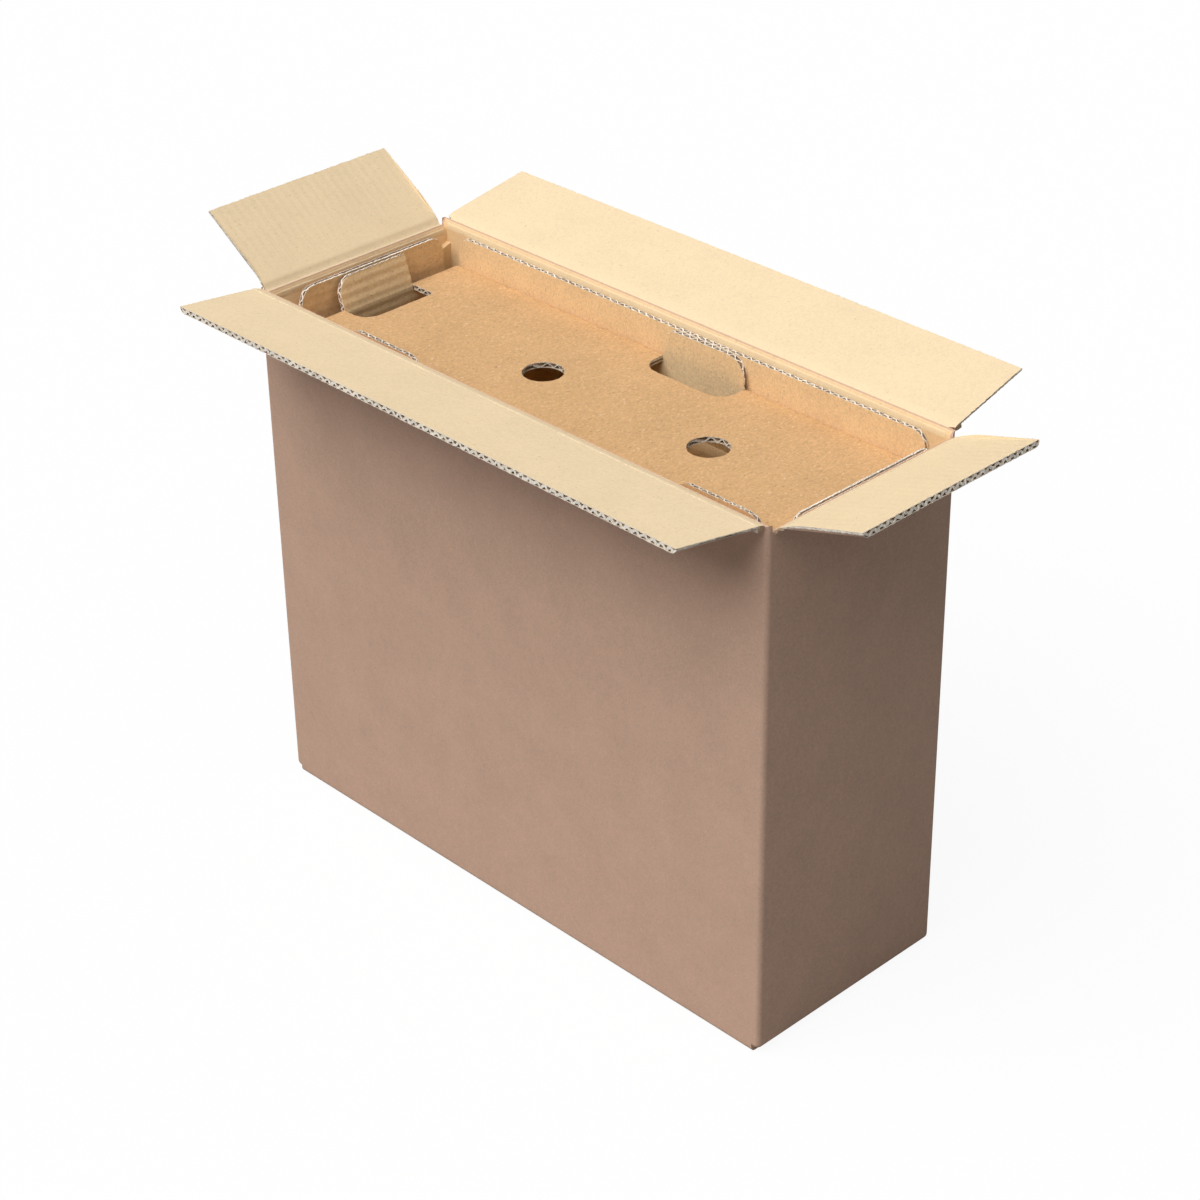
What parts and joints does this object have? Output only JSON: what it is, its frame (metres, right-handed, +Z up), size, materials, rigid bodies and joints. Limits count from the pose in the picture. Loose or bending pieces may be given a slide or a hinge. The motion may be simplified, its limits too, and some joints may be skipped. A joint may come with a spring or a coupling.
{
  "type": "bottle shipping box",
  "caption": "Corrugated carton for shipping bottles upright, with four hinged lid flaps, a folded top cushion with finger holes and spacer tabs, and cells below.",
  "frame": {"origin": "centre of the carton's underside", "axes": "+X along the long side to the right, +Y to the back, +Z up"},
  "size_m": [0.584, 0.3019, 0.4206],
  "materials": {
    "kraft_brown_outside": "matte mauve-brown kraft liner outside, pale inside",
    "kraft_lid": "matte kraft, pale cream-yellow inside and brown outside",
    "kraft_pale_inside": "matte yellowish kraft liner with fine fibres",
    "kraft_orange_deck": "matte orange-tan kraft liner with fine fibres"
  },
  "bodies": {
    "box": {"carton": "kraft_brown_outside", "top_tray": "kraft_pale_inside", "top_deck": "kraft_orange_deck", "bottom_deck": "kraft_orange_deck", "divider_left": "kraft_pale_inside", "divider_right": "kraft_pale_inside"},
    "front_flap": {"flap_front": "kraft_lid"},
    "back_flap": {"flap_back": "kraft_lid"},
    "left_flap": {"flap_left": "kraft_lid"},
    "right_flap": {"flap_right": "kraft_lid"}
  },
  "joints": [
    {"name": "front_flap_fold", "type": "hinge", "parent": "box", "child": "front_flap", "pos_m": [0, -0.082, 0.385], "axis": [-1, 0, 0], "range_deg": [-36.5, 173.5]},
    {"name": "back_flap_fold", "type": "hinge", "parent": "box", "child": "back_flap", "pos_m": [0, 0.082, 0.385], "axis": [1, 0, 0], "range_deg": [-39.5, 170.5]},
    {"name": "left_flap_fold", "type": "hinge", "parent": "box", "child": "left_flap", "pos_m": [-0.229, 0, 0.3807], "axis": [0, 1, 0], "range_deg": [-62.5, 147.5]},
    {"name": "right_flap_fold", "type": "hinge", "parent": "box", "child": "right_flap", "pos_m": [0.229, 0, 0.3807], "axis": [0, -1, 0], "range_deg": [-47, 163]}
  ]
}
